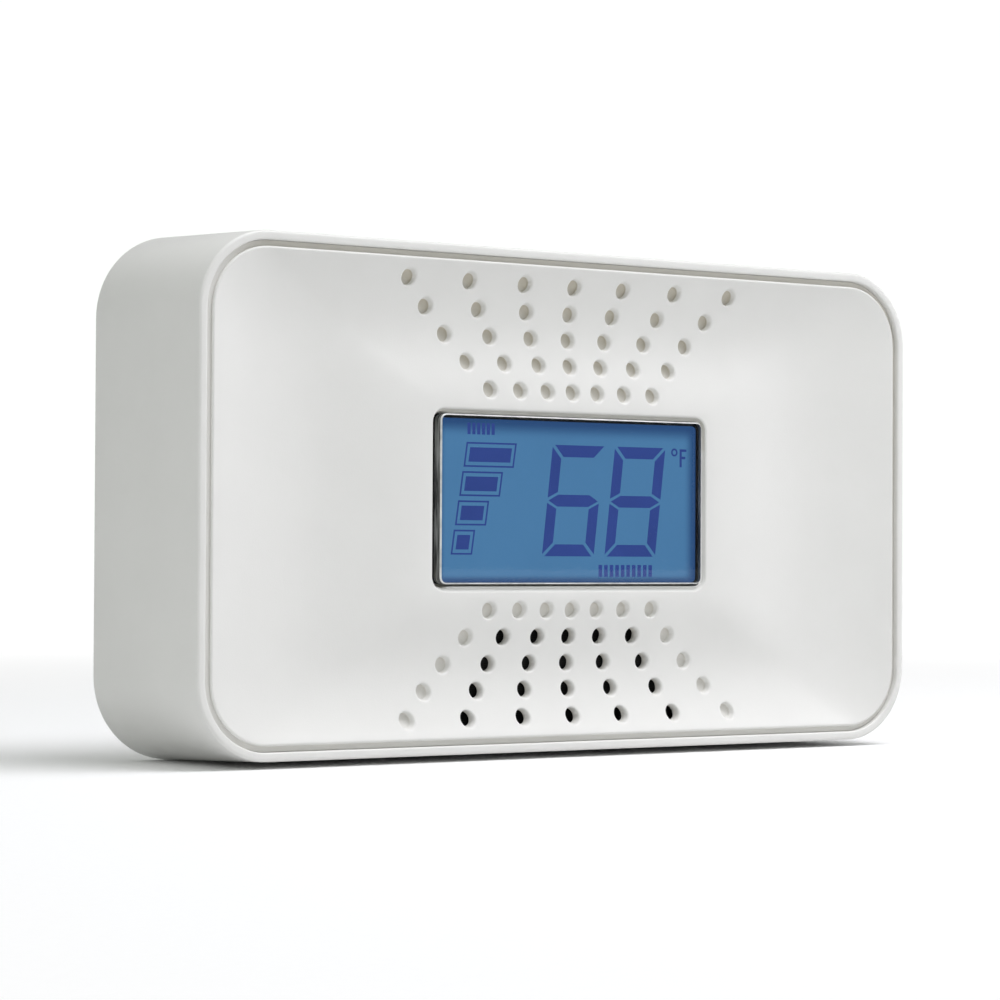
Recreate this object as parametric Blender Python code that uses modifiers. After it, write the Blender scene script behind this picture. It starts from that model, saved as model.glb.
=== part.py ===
"""Carbon monoxide alarm with a temperature display, for a table top or a wall.

The model is in metres with +Z up. The display faces -Y and +X is to its right. The origin lies
under the middle of the case, level with its lowest edge. Sizes below are in millimetres, and MM
turns them into metres where a mesh is made. Heights are counted from the middle of the display
panel, and MIDDLE is the height of that middle above the origin.
"""
import math

import bmesh
import bpy
from mathutils import Matrix, Vector

MM = 0.001

# ---------------------------------------------------------------- case
DEPTH = 27.1
FRONT, BACK = -DEPTH / 2, DEPTH / 2
HALF_WIDTH, HALF_HEIGHT, CORNER = 64.0, 36.165, 11.13      # outline of the case at its front
DRAFT = 1.0                                                # how far each side leans out by the back
MIDDLE = HALF_HEIGHT + DRAFT
WALL = 2.0
RIM = 1.29                                                 # width of the rim round the panel
GROOVE = 0.95                                              # gap between that rim and the panel
EDGE_BREAK = 0.35
FIT = 0.3                                                  # gap where two pieces meet

# ---------------------------------------------------------------- front cover
COVER_WALL, COVER_EDGE = 2.0, 2.3
WINDOW_Z = -0.07
OPENING_X, OPENING_Z, OPENING_R = 24.8, 12.87, 2.0         # half sizes of the display opening
SHELF, DISH = 1.4, 2.95                                    # recess at the opening and at the dish
DISH_AT, DISH_POWER = 0.53, 1.75                           # where the dish is deepest, 0 to 1
HOLE_RADIUS, HOLE_DEPTH = 1.1, 1.0
HOLE_ROWS = (15.8, 19.65, 23.5, 27.3, 31.2)                # distance of each row from the middle
HOLE_FAN = 0.287                                           # slant of the first column of holes
HOLE_FAN_GROWTH = 0.0437
FLANGE_FRONT = FRONT + 1.3                                 # floor of the gap round the panel
FRONT_LEDGE = FRONT + COVER_EDGE + 0.2
BACK_LEDGE = BACK - 2.85
REAR_COVER_FRONT, REAR_COVER_BACK = BACK - 2.55, BACK - 0.55
PLATE_CUT = (BACK - 4.5, BACK + 1.5)                       # reach of the tools that cut the plate
COVER_SCREW_X, COVER_SCREW_Z = 54.5, 27.0
COVER_POST, COVER_PILOT, BOARD_POST, BOARD_PILOT = 3.25, 1.6, 2.6, 1.3
VENT_WIDTH, VENT_HEIGHT, VENT_PITCH = 1.6, 12.0, 3.2

# ---------------------------------------------------------------- display, front to back
DISPLAY_X, DISPLAY_Z = 0.2, -0.1                           # middle of the display
LENS_X, LENS_Z, LENS_R, LENS_RISE = 23.85, 12.1, 1.0, 0.15 # the window sits a little higher
LENS_FRONT, LENS_THICK = FRONT + 1.25, 1.7
SEAT = FRONT + 3.95                                        # floor that the lens and gasket sit on
SEAT_THICK = 0.8
LCD_X, LCD_Z, LCD_FRONT, LCD_THICK = 23.6, 11.7, FRONT + 3.15, 2.2

# ---------------------------------------------------------------- board and what it carries
BOARD_FRONT, BOARD_BACK = -4.0, -2.4
BOARD_LEFT, BOARD_RIGHT, BOARD_TOP = -50.5, 34.0, 29.0
BOARD_SCREWS = ((-45.0, 22.0), (-45.0, -22.0), (31.5, 22.0), (31.5, -22.0))
ON_BOARD = BOARD_BACK + 0.2
HORN_Z, HORN_RADIUS, HORN_DEPTH = -21.0, 13.0, 8.0
SENSOR_X, SENSOR_Z = -30.0, -19.0
CELL_X, CELL_Y, CELL_RADIUS, CELL_LENGTH = 47.5, 1.7, 8.5, 34.5

# ---------------------------------------------------------------- moving pieces
BUTTON_Y, BUTTON_HALF, BUTTON_RADIUS = -0.3, 8.0, 3.0
BUTTON_TOP = HALF_HEIGHT + 0.95
PLUNGER_TOP, PLUNGER_GAP = 30.2, 0.35
SLIDER_X, SLIDER_Z, SLIDER_TRAVEL = 24.0, -16.0, 3.0
KEYHOLE_X, KEYHOLE_Z, KEYHOLE_ENTRY, KEYHOLE_NECK = 35.0, 14.0, 4.2, 2.3


# ================================================================ helpers
def point(x, y, z):
    """A place in millimetres from the middle of the panel, as metres from the origin."""
    return Vector((x, y, z + MIDDLE)) * MM


def make_material(name, color, roughness, metallic=0.0, alpha=1.0):
    material = bpy.data.materials.new(name)
    material.use_nodes = True
    shader = material.node_tree.nodes["Principled BSDF"]
    shader.inputs["Base Color"].default_value = (*color, 1.0)
    shader.inputs["Roughness"].default_value = roughness
    shader.inputs["Metallic"].default_value = metallic
    shader.inputs["Alpha"].default_value = alpha
    return material


def add_object(name, mesh_data, material=None, smooth=False):
    """Put a bmesh or a mesh into the scene as a part, or as a cutter when it has no material."""
    if isinstance(mesh_data, bmesh.types.BMesh):
        bmesh.ops.recalc_face_normals(mesh_data, faces=mesh_data.faces)
        mesh = bpy.data.meshes.new(name)
        mesh_data.to_mesh(mesh)
        mesh_data.free()
    else:
        mesh = mesh_data
    if smooth:
        mesh.shade_smooth()
        mesh.set_sharp_from_angle(angle=math.radians(35))
    obj = bpy.data.objects.new(name, mesh)
    if material is None:
        obj.hide_render = True
        obj.display_type = "WIRE"
        CUTTERS.objects.link(obj)
    else:
        mesh.materials.append(material)
        PARTS.objects.link(obj)
    return obj


def place(obj, x, y, z):
    obj.location = point(x, y, z)
    return obj


def boolean(target, tool, operation="DIFFERENCE"):
    modifier = target.modifiers.new(tool.name, "BOOLEAN")
    modifier.operation = operation
    modifier.solver = "EXACT"
    modifier.object = tool


def rounded_rectangle(half_x, half_z, radius, steps=6):
    """Corner by corner, counter-clockwise as seen from the front."""
    outline = []
    for corner, (sign_x, sign_z) in enumerate(((1, 1), (-1, 1), (-1, -1), (1, -1))):
        for step in range(steps + 1):
            angle = math.pi / 2 * (corner + step / steps)
            outline.append((sign_x * (half_x - radius) + radius * math.cos(angle),
                            sign_z * (half_z - radius) + radius * math.sin(angle)))
    return outline


def case_outline(inset, steps=6):
    """The outline of the case's front, moved inwards by inset."""
    return rounded_rectangle(HALF_WIDTH - inset, HALF_HEIGHT - inset, CORNER - inset, steps)


def loft(rings):
    """A closed tube of faces through rings of points, whose last ring joins the first."""
    mesh = bmesh.new()
    loops = [[mesh.verts.new(point(*place_mm)) for place_mm in ring] for ring in rings]
    for near, far in zip(loops, loops[1:] + loops[:1]):
        for i in range(len(near)):
            j = (i + 1) % len(near)
            mesh.faces.new((near[i], near[j], far[j], far[i]))
    return mesh


def prism(outline, start, end, along="Y"):
    """A flat outline pushed from start to end along Y, or along Z for an outline in X and Y."""
    mesh = bmesh.new()
    if along == "Y":
        corners = [Vector((a, start, b)) * MM for a, b in outline]
        push = Vector((0, end - start, 0)) * MM
    else:
        corners = [Vector((a, b, start)) * MM for a, b in outline]
        push = Vector((0, 0, end - start)) * MM
    face = mesh.faces.new([mesh.verts.new(corner) for corner in corners])
    pushed = bmesh.ops.extrude_face_region(mesh, geom=[face])["geom"]
    bmesh.ops.translate(mesh, vec=push, verts=[v for v in pushed if isinstance(v, bmesh.types.BMVert)])
    return mesh


def box(low, high, name, material=None):
    """A block between two corners given in millimetres from the middle of the panel."""
    mesh = bmesh.new()
    size = [(b - a) * MM for a, b in zip(low, high)]
    bmesh.ops.create_cube(mesh, size=1.0, matrix=Matrix.Diagonal((*size, 1.0)))
    centre = [(a + b) / 2 for a, b in zip(low, high)]
    return place(add_object(name, mesh, material), *centre)


def rods(places, name, sides=12):
    """Separate cylinders along Y as one cutter: x, z, radius, start and end of each."""
    mesh = bmesh.new()
    for x, z, radius, start, end in places:
        turn = Matrix.Rotation(math.pi / 2, 4, "X")
        middle = Matrix.Translation(point(x, (start + end) / 2, z))
        bmesh.ops.create_cone(mesh, cap_ends=True, segments=sides, radius1=radius * MM,
                              radius2=radius * MM, depth=(end - start) * MM, matrix=middle @ turn)
    return add_object(name, mesh)


def turned(name, profile, material=None, steps=24, closed=False):
    """A profile of radius and height turned round Z, listed down its outer side."""
    mesh = bpy.data.meshes.new(name)
    links = [(i, i + 1) for i in range(len(profile) - 1)]
    if closed:
        links.append((len(profile) - 1, 0))
    mesh.from_pydata([(r * MM, 0, h * MM) for r, h in profile], links, [])
    obj = add_object(name, mesh, material)
    screw = obj.modifiers.new("Turn", "SCREW")
    screw.steps = screw.render_steps = steps
    screw.use_merge_vertices = True
    screw.merge_threshold = 0.00001
    screw.use_smooth_shade = True
    return obj


def face_backwards(obj):
    """Turn a piece's own +Z towards the back of the case."""
    obj.rotation_euler.x = -math.pi / 2
    return obj


# ================================================================ shape of the display panel
def panel_recess(s):
    """How far the panel lies behind the rim: s is 0 at the display opening, 1 at the edge."""
    if s < DISH_AT:
        return SHELF + (DISH - SHELF) * (0.5 - 0.5 * math.cos(math.pi * s / DISH_AT))
    return DISH * (1 - ((s - DISH_AT) / (1 - DISH_AT)) ** DISH_POWER)


def panel_ring(s):
    """The line on the panel at s, which changes from the opening's outline to the edge's."""
    inner = rounded_rectangle(OPENING_X, OPENING_Z, OPENING_R)
    outer = case_outline(RIM + GROOVE)
    return [(a[0] + (b[0] - a[0]) * s, (a[1] + WINDOW_Z) * (1 - s) + b[1] * s)
            for a, b in zip(inner, outer)]


def panel_position(x, z):
    """The s of a place on the panel, found by halving."""
    low, high = 0.0, 1.0
    inset = RIM + GROOVE
    for _ in range(24):
        s = (low + high) / 2
        half_x = OPENING_X + (HALF_WIDTH - inset - OPENING_X) * s
        half_z = OPENING_Z + (HALF_HEIGHT - inset - OPENING_Z) * s
        radius = OPENING_R + (CORNER - inset - OPENING_R) * s
        over_x = abs(x) - half_x + radius
        over_z = abs(z - WINDOW_Z * (1 - s)) - half_z + radius
        reach = math.hypot(max(over_x, 0), max(over_z, 0)) + min(max(over_x, over_z), 0)
        if reach > radius:
            low = s
        else:
            high = s
    return high


def panel_y(x, z):
    return FRONT + panel_recess(panel_position(x, z))


# ================================================================ case shells
def make_housing(material):
    """The sleeve round the case: a rim, a ledge for each cover and the slot for the button."""
    lean = DRAFT / DEPTH
    profile = [
        (EDGE_BREAK, FRONT), (0, FRONT + EDGE_BREAK), (-DRAFT, BACK - EDGE_BREAK),
        (EDGE_BREAK - DRAFT, BACK), (WALL - DRAFT, BACK), (WALL - DRAFT, BACK_LEDGE),
        (3.2, BACK_LEDGE), (3.2, BACK_LEDGE - 1.5),
        (WALL - lean * (BACK_LEDGE - 1.5 - FRONT), BACK_LEDGE - 1.5),
        (WALL - lean * 3.9, FRONT_LEDGE + 1.4), (3.6, FRONT_LEDGE + 1.4), (3.6, FRONT_LEDGE),
        (RIM, FRONT_LEDGE), (RIM, FRONT),
    ]
    rings = [[(x, y, z) for x, z in case_outline(inset)] for inset, y in profile]
    housing = add_object("housing", loft(rings), material, smooth=True)
    slot = prism(rounded_rectangle(BUTTON_HALF + FIT, BUTTON_RADIUS + FIT, BUTTON_RADIUS + FIT),
                 -4, 4, along="Z")
    boolean(housing, place(add_object("button_slot", slot), 0, BUTTON_Y, HALF_HEIGHT))
    return housing


def hole_places():
    """Every hole of the panel: x, z and whether it goes right through."""
    places = []
    for side in (1, -1):
        for row, distance in enumerate(HOLE_ROWS):
            for column in range(-3, 4):
                k = abs(column)
                spread = distance * HOLE_FAN * (k + HOLE_FAN_GROWTH * k * (k - 1))
                through = side < 0 and row > 0 and k < 3
                places.append((math.copysign(spread, column), side * distance, through))
    return places


def make_front_cover(material):
    """The dished panel with its fans of holes, the display opening and the screw posts."""
    stations = (0, 0.13, 0.25, 0.38, 0.5, 0.6, 0.7, 0.79, 0.87, 0.94, 1)
    front = [[(x, FRONT + panel_recess(s), z) for x, z in panel_ring(s)] for s in stations]
    flange = [[(x, y, z) for x, z in case_outline(inset)]
              for inset, y in ((RIM + GROOVE, FLANGE_FRONT), (RIM + FIT, FLANGE_FRONT),
                               (RIM + FIT, FRONT + COVER_EDGE))]
    back = [[(x, y + COVER_WALL if s < 0.9 else FRONT + COVER_EDGE, z) for x, y, z in ring]
            for s, ring in zip(stations, front)]
    cover = add_object("front_cover", loft(front + flange + back[::-1]), material, smooth=True)

    frame = prism(rounded_rectangle(OPENING_X + 2.4, OPENING_Z + 2.4, 3), FRONT + 2.1,
                  SEAT + SEAT_THICK)
    boolean(cover, place(add_object("opening_frame", frame), 0, 0, WINDOW_Z), "UNION")
    pocket = prism(rounded_rectangle(OPENING_X, OPENING_Z, OPENING_R), FRONT, SEAT)
    boolean(cover, place(add_object("opening_pocket", pocket), 0, 0, WINDOW_Z))
    sight = prism(rounded_rectangle(LCD_X + 0.15, LCD_Z + 0.15, 0.8), FRONT, 0)
    boolean(cover, place(add_object("opening_sight", sight), DISPLAY_X, 0, DISPLAY_Z))

    posts, pilots = [], []
    for x in (-COVER_SCREW_X, COVER_SCREW_X):
        for z in (-COVER_SCREW_Z, COVER_SCREW_Z):
            posts.append((x, z, COVER_POST, panel_y(x, z) + 1, REAR_COVER_FRONT - FIT))
            pilots.append((x, z, COVER_PILOT, REAR_COVER_FRONT - 9, REAR_COVER_FRONT + 1))
    for x, z in BOARD_SCREWS:
        posts.append((x, z, BOARD_POST, panel_y(x, z) + 1, BOARD_FRONT - FIT))
        pilots.append((x, z, BOARD_PILOT, BOARD_FRONT - 4.2, BOARD_FRONT + 1))
    boolean(cover, rods(posts, "screw_posts"), "UNION")
    boolean(cover, rods(pilots, "screw_pilots", sides=10))

    holes = []
    for x, z, through in hole_places():
        surface = panel_y(x, z)
        holes.append((x, z, HOLE_RADIUS, surface - 1, surface + (3 if through else HOLE_DEPTH)))
    boolean(cover, rods(holes, "panel_holes", sides=8))
    return cover


def make_rear_cover(material):
    """The back plate: keyholes, vents, counterbored screw holes and the slider's slot."""
    plate = prism(case_outline(WALL - DRAFT + FIT), REAR_COVER_FRONT, REAR_COVER_BACK)
    cover = place(add_object("rear_cover", plate, material), 0, 0, 0)

    for side, x in (("left", -KEYHOLE_X), ("right", KEYHOLE_X)):
        entry = rods([(x, KEYHOLE_Z, KEYHOLE_ENTRY, *PLATE_CUT)], "keyhole_entry_" + side, sides=16)
        boolean(cover, entry)
        slot = prism(rounded_rectangle(KEYHOLE_NECK, 5.0, KEYHOLE_NECK, 4), *PLATE_CUT)
        boolean(cover, place(add_object("keyhole_slot_" + side, slot), x, 0, KEYHOLE_Z + 4.5))

    corners = [(x, z) for x in (-COVER_SCREW_X, COVER_SCREW_X)
               for z in (-COVER_SCREW_Z, COVER_SCREW_Z)]
    boolean(cover, rods([(x, z, COVER_PILOT, *PLATE_CUT) for x, z in corners], "screw_holes"))
    boolean(cover, rods([(x, z, 3.2, REAR_COVER_BACK - 1.2, PLATE_CUT[1]) for x, z in corners],
                        "screw_counterbores", sides=16))

    for i in range(6):
        x = SENSOR_X + VENT_PITCH * (i - 2.5)
        vent = box((x - VENT_WIDTH / 2, PLATE_CUT[0], SENSOR_Z - VENT_HEIGHT / 2),
                   (x + VENT_WIDTH / 2, PLATE_CUT[1], SENSOR_Z + VENT_HEIGHT / 2), f"vent_{i + 1}")
        boolean(cover, vent)

    middle = SLIDER_X + SLIDER_TRAVEL / 2
    boolean(cover, box((middle - 3.7, PLATE_CUT[0], SLIDER_Z - 1.8),
                       (middle + 3.7, PLATE_CUT[1], SLIDER_Z + 1.8), "slider_slot"))
    for name, z in (("slider_guide_upper", SLIDER_Z + 3.9), ("slider_guide_lower", SLIDER_Z - 3.9)):
        guide = box((middle - 8, 9.4, z - 0.6), (middle + 8, REAR_COVER_FRONT + 0.5, z + 0.6), name)
        boolean(cover, guide, "UNION")
    return cover


# ================================================================ display
def make_display(clear, black, glass, glow, frame_plastic, led_plastic):
    """The stack behind the opening, from the window to the frame that stands on the board."""
    def at_window(name, outline, start, end, material, rise=0.0):
        return place(add_object(name, prism(outline, start, end), material),
                     DISPLAY_X, 0, DISPLAY_Z + rise)

    lens_back = LENS_FRONT + LENS_THICK
    at_window("display_window", rounded_rectangle(LENS_X, LENS_Z, LENS_R), LENS_FRONT, lens_back,
              clear, LENS_RISE)

    gasket = at_window("window_gasket", rounded_rectangle(LENS_X, LENS_Z, LENS_R),
                       lens_back + 0.15, SEAT - 0.15, black, LENS_RISE)
    inner = rounded_rectangle(LCD_X + 0.05, LCD_Z + 0.05, 0.7)
    boolean(gasket, place(add_object("gasket_inside", prism(inner, FRONT, 0)),
                          DISPLAY_X, 0, DISPLAY_Z))

    at_window("lcd_glass", rounded_rectangle(LCD_X, LCD_Z, 0.7, 3), LCD_FRONT,
              LCD_FRONT + LCD_THICK, glass)

    lcd_back = LCD_FRONT + LCD_THICK
    at_window("backlight_panel", rounded_rectangle(20.5, 9.2, 0.5, 2),
              lcd_back + FIT, BOARD_FRONT - 1.0, glow)
    for side, sign in (("left", -1), ("right", 1)):
        x = DISPLAY_X + sign * 21.8
        box((x - 0.9, lcd_back + 0.6, DISPLAY_Z - 1.7), (x + 0.9, BOARD_FRONT - FIT, DISPLAY_Z + 1.7),
            "backlight_led_" + side, led_plastic)
    for side, sign in (("upper", 1), ("lower", -1)):
        z = DISPLAY_Z + sign * 10.5
        box((-19, lcd_back + 0.2, z - 0.75), (19, BOARD_FRONT - 0.2, z + 0.75),
            "lcd_connector_" + side, black)

    holder = at_window("lcd_holder", rounded_rectangle(25.5, 14.1, 1.5, 3),
                       SEAT + SEAT_THICK + FIT, BOARD_FRONT - FIT, frame_plastic)
    room = rounded_rectangle(LCD_X + 0.2, LCD_Z + 0.2, 0.8, 3)
    boolean(holder, place(add_object("holder_inside", prism(room, FRONT, 0)),
                          DISPLAY_X, 0, DISPLAY_Z))


# ================================================================ board, horn, sensor, cell
def make_circuit_board(material):
    """The board, notched below the display so that sound and air pass between horn and holes."""
    notch_x, notch_top, cut = 13.5, -16.0, 3.0
    outline = [
        (BOARD_RIGHT, -BOARD_TOP + cut), (BOARD_RIGHT, BOARD_TOP - cut),
        (BOARD_RIGHT - cut, BOARD_TOP), (BOARD_LEFT + cut, BOARD_TOP),
        (BOARD_LEFT, BOARD_TOP - cut), (BOARD_LEFT, -BOARD_TOP + cut),
        (BOARD_LEFT + cut, -BOARD_TOP), (-notch_x, -BOARD_TOP), (-notch_x, notch_top),
        (notch_x, notch_top), (notch_x, -BOARD_TOP), (BOARD_RIGHT - cut, -BOARD_TOP),
    ]
    board = add_object("circuit_board", prism(outline, BOARD_FRONT, BOARD_BACK), material)
    place(board, 0, 0, 0)
    boolean(board, rods([(x, z, 1.3, -6, 0) for x, z in BOARD_SCREWS], "board_holes", sides=12))


def make_horn(plastic, disc_metal, screen_cloth):
    """The sounder: a cup with a port towards the holes, a brass disc and a ring that holds it."""
    inner, seat = HORN_RADIUS - 3.5, HORN_RADIUS - 1.3
    housing = turned("horn_housing", [
        (HORN_RADIUS, HORN_DEPTH), (HORN_RADIUS, 0), (3.0, 0), (3.0, 1.2), (inner, 1.2),
        (inner, 5.5), (seat, 5.5), (seat, HORN_DEPTH)], plastic, closed=True, steps=32)
    disc = turned("horn_disc", [(0, 6.2), (7.0, 6.2), (7.0, 6.05), (seat - FIT, 6.05),
                                (seat - FIT, 5.8), (0, 5.8)], disc_metal, steps=32)
    ring = turned("horn_ring", [(seat - FIT, 7.8), (seat - FIT, 6.4), (8.2, 6.4), (8.2, 7.8)],
                  plastic, closed=True, steps=32)
    for piece in (housing, disc, ring):
        place(face_backwards(piece), 0, ON_BOARD, HORN_Z)
    box((-21, FRONT + 5.25, -33), (21, FRONT + 5.55, -16.8), "dust_screen", screen_cloth)


def make_sensor(can, cap_plastic):
    """The electrochemical cell that smells the gas, and the filter cap over its mouth."""
    body = turned("co_sensor_body", [(0, 9.4), (6.6, 9.4), (7.2, 8.8), (7.2, 0), (0, 0)], can)
    cap = turned("co_sensor_cap", [(0, 11.2), (3.0, 11.2), (3.0, 12.2), (6.4, 12.2), (7.6, 11.4),
                                   (7.6, 9.7), (0, 9.7)], cap_plastic)
    for piece in (body, cap):
        place(face_backwards(piece), SENSOR_X, ON_BOARD, SENSOR_Z)


def make_battery(sleeve, tray_plastic, tab_metal):
    """The sealed lithium cell, the tray it lies in and the two tabs that lead to the board."""
    half, nub = CELL_LENGTH / 2, 1.0
    cell = turned("battery_cell", [
        (0, half), (2.8, half), (2.8, half - nub), (7.8, half - nub), (CELL_RADIUS, half - nub - 0.7),
        (CELL_RADIUS, 0.7 - half), (7.8, -half), (0, -half)], sleeve, steps=28)
    place(cell, CELL_X, CELL_Y, 0)

    low = CELL_Y - CELL_RADIUS - FIT
    tray = box((CELL_X - 10.2, low - 1.1, -half - 2.2), (CELL_X + 10.2, low + 7, half + 2.2),
               "battery_tray", tray_plastic)
    boolean(tray, box((CELL_X - 8.8, low, -half - 0.9), (CELL_X + 8.8, low + 9, half + 0.9),
                      "tray_inside"))
    foot = BOARD_RIGHT - 2.2
    outline = [(foot, ON_BOARD), (foot + 1.8, ON_BOARD), (foot + 1.8, 0.5), (CELL_X + 1.5, 0.5),
               (CELL_X + 1.5, 3.5), (foot, 3.5)]
    for side, start in (("upper", half + 0.3), ("lower", -half - 0.6)):
        tab = prism(outline, start, start + 0.3, along="Z")
        place(add_object("battery_tab_" + side, tab, tab_metal), 0, 0, 0)


def make_board_parts(chip_plastic, copper, foil, bead):
    """The larger components on the back of the board."""
    chip = box((-19.5, ON_BOARD, 7.5), (-10.5, ON_BOARD + 1.4, 16.5), "controller_chip", chip_plastic)
    soften = chip.modifiers.new("Edges", "BEVEL")
    soften.width, soften.segments = 0.25 * MM, 1

    coil = turned("horn_inductor", [(0, 8.6), (4.6, 8.6), (4.6, 7.4), (3.9, 7.1), (3.9, 1.9),
                                    (4.6, 1.6), (4.6, 0), (0, 0)], copper, steps=20)
    place(face_backwards(coil), 22.0, ON_BOARD, -2.0)
    can = turned("capacitor", [(0, 9.6), (3.4, 9.6), (4.0, 9.1), (4.0, 1.4), (3.7, 1.1), (4.0, 0.8),
                               (4.0, 0), (0, 0)], foil, steps=20)
    place(face_backwards(can), -39.0, ON_BOARD, 9.0)
    drop = turned("thermistor", [(0, 4.6), (0.9, 4.3), (1.3, 3.5), (0.9, 2.6), (0.35, 2.2),
                                 (0.35, 0), (0, 0)], bead, steps=12)
    place(face_backwards(drop), -40.0, ON_BOARD, 25.5)


# ================================================================ moving pieces
def make_test_button(button_plastic, switch_plastic, plunger_plastic):
    """The button in the top of the case, and the switch on the board that it presses."""
    pill = rounded_rectangle(BUTTON_HALF, BUTTON_RADIUS, BUTTON_RADIUS)
    flange = rounded_rectangle(BUTTON_HALF + 1.5, BUTTON_RADIUS + 1.5, BUTTON_RADIUS + 1.5)
    stem_bottom = PLUNGER_TOP + PLUNGER_GAP
    flange_top = HALF_HEIGHT - WALL - FIT
    button = add_object("test_button", prism(pill, flange_top - 0.6 - BUTTON_TOP, 0, along="Z"),
                        button_plastic)
    place(button, 0, BUTTON_Y, BUTTON_TOP)
    rim = add_object("button_flange", prism(flange, flange_top - 1.2, flange_top, along="Z"))
    boolean(button, place(rim, 0, BUTTON_Y, 0), "UNION")
    stem = box((-1.6, BUTTON_Y - 1.2, stem_bottom), (1.6, BUTTON_Y + 1.2, flange_top - 0.6),
               "button_stem")
    boolean(button, stem, "UNION")

    body = box((-3, ON_BOARD, 24.5), (3, ON_BOARD + 3.8, 28.5), "test_switch_body", switch_plastic)
    well = box((-1.6, BUTTON_Y - 1.1, 26.8), (1.6, BUTTON_Y + 1.1, 30), "plunger_well")
    boolean(body, well)
    box((-1.3, BUTTON_Y - 0.8, 27.3), (1.3, BUTTON_Y + 0.8, PLUNGER_TOP), "test_switch_plunger",
        plunger_plastic)


def make_activation_slider(slider_plastic, switch_metal, stem_plastic):
    """The slider in the back plate, whose fork moves the switch that wakes the alarm."""
    x, z = SLIDER_X, SLIDER_Z
    plate_back = REAR_COVER_FRONT - FIT
    slider = box((x - 4.6, plate_back - 1.1, z - 3), (x + 7.6, plate_back, z + 3),
                 "activation_slider", slider_plastic)
    knob = box((x - 2, plate_back - 0.5, z - 1.5), (x + 2, REAR_COVER_BACK - 0.2, z + 1.5),
               "slider_knob")
    boolean(slider, knob, "UNION")
    for name, side in (("fork_left", -1), ("fork_right", 1)):
        prong_x = x + side * 1.7
        prong = box((prong_x - 0.6, 3.6, z - 1.2), (prong_x + 0.6, plate_back - 0.5, z + 1.2), name)
        boolean(slider, prong, "UNION")
    for i in range(3):
        cut = box((x - 1.35 + i, REAR_COVER_BACK - 0.6, z - 2),
                  (x - 0.65 + i, PLATE_CUT[1], z + 2), f"knob_groove_{i + 1}")
        boolean(slider, cut)

    middle = x + SLIDER_TRAVEL / 2
    body = box((middle - 4.4, ON_BOARD, z - 2), (middle + 4.4, ON_BOARD + 3.6, z + 2),
               "activation_switch_body", switch_metal)
    boolean(body, box((middle - 2.6, ON_BOARD + 2.2, z - 1.1), (middle + 2.6, 6, z + 1.1),
                      "stem_slot"))
    box((x - 0.8, ON_BOARD + 2.5, z - 0.8), (x + 0.8, 5.2, z + 0.8), "activation_switch_stem",
        stem_plastic)


# ================================================================ fasteners and label
def make_screw(name, x, z, head, shank, start, length, steel):
    """A round-headed screw driven in from the back: start is the underside of its head."""
    screw = turned(name, [(0, head[1]), (head[0] - 0.4, head[1]), (head[0], head[1] - 0.4),
                          (head[0], 0), (shank, 0), (shank, 0.6 - length), (0, -length)],
                   steel, steps=12)
    place(face_backwards(screw), x, start, z)
    arm, slit = head[0] * 0.62, 0.35
    drive = box((x - arm, start + head[1] - 0.5, z - slit), (x + arm, start + head[1] + 1, z + slit),
                name + "_drive_a")
    boolean(screw, drive)
    cross = box((x - slit, start + head[1] - 0.5, z - arm), (x + slit, start + head[1] + 1, z + arm),
                name + "_drive_b")
    boolean(screw, cross)


def make_screws(steel):
    number = 0
    for x in (-COVER_SCREW_X, COVER_SCREW_X):
        for z in (-COVER_SCREW_Z, COVER_SCREW_Z):
            number += 1
            make_screw(f"cover_screw_{number}", x, z, (2.7, 0.85), 1.3, REAR_COVER_BACK - 0.95, 8.4,
                       steel)
    for number, (x, z) in enumerate(BOARD_SCREWS, 1):
        make_screw(f"board_screw_{number}", x, z, (2.2, 1.2), 1.0, BOARD_BACK + FIT, 5.4, steel)


# ================================================================ assembly
for leftover in list(bpy.data.objects):
    bpy.data.objects.remove(leftover, do_unlink=True)
PARTS = bpy.data.collections.new("carbon_monoxide_detector")
CUTTERS = bpy.data.collections.new("cutters")
bpy.context.scene.collection.children.link(PARTS)
bpy.context.scene.collection.children.link(CUTTERS)

case_white = make_material("case_white", (0.82, 0.82, 0.80), 0.45)
panel_white = make_material("panel_white", (0.84, 0.84, 0.82), 0.42)
button_white = make_material("button_white", (0.80, 0.80, 0.79), 0.4)
inner_white = make_material("inner_white", (0.72, 0.72, 0.70), 0.5)
black_plastic = make_material("black_plastic", (0.02, 0.02, 0.02), 0.4)
black_rubber = make_material("black_rubber", (0.03, 0.03, 0.03), 0.8)
screen_cloth = make_material("screen_cloth", (0.02, 0.02, 0.02), 0.9)
clear_plastic = make_material("clear_plastic", (0.95, 0.97, 0.98), 0.05, alpha=0.35)
display_blue = make_material("display_blue", (0.07, 0.19, 0.38), 0.1)
light_guide = make_material("light_guide", (0.85, 0.92, 1.0), 0.3)
led_body = make_material("led_body", (0.9, 0.88, 0.7), 0.4)
board_green = make_material("board_green", (0.02, 0.16, 0.07), 0.35)
brass = make_material("brass", (0.75, 0.55, 0.25), 0.3, metallic=1.0)
steel_can = make_material("steel_can", (0.62, 0.62, 0.62), 0.3, metallic=1.0)
screw_steel = make_material("screw_steel", (0.55, 0.55, 0.56), 0.3, metallic=1.0)
nickel = make_material("nickel", (0.70, 0.69, 0.66), 0.28, metallic=1.0)
cell_wrap = make_material("cell_wrap", (0.16, 0.17, 0.19), 0.3)
copper_wire = make_material("copper_wire", (0.60, 0.28, 0.12), 0.3, metallic=1.0)
label_film = make_material("label_film", (0.78, 0.78, 0.76), 0.5)

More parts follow.
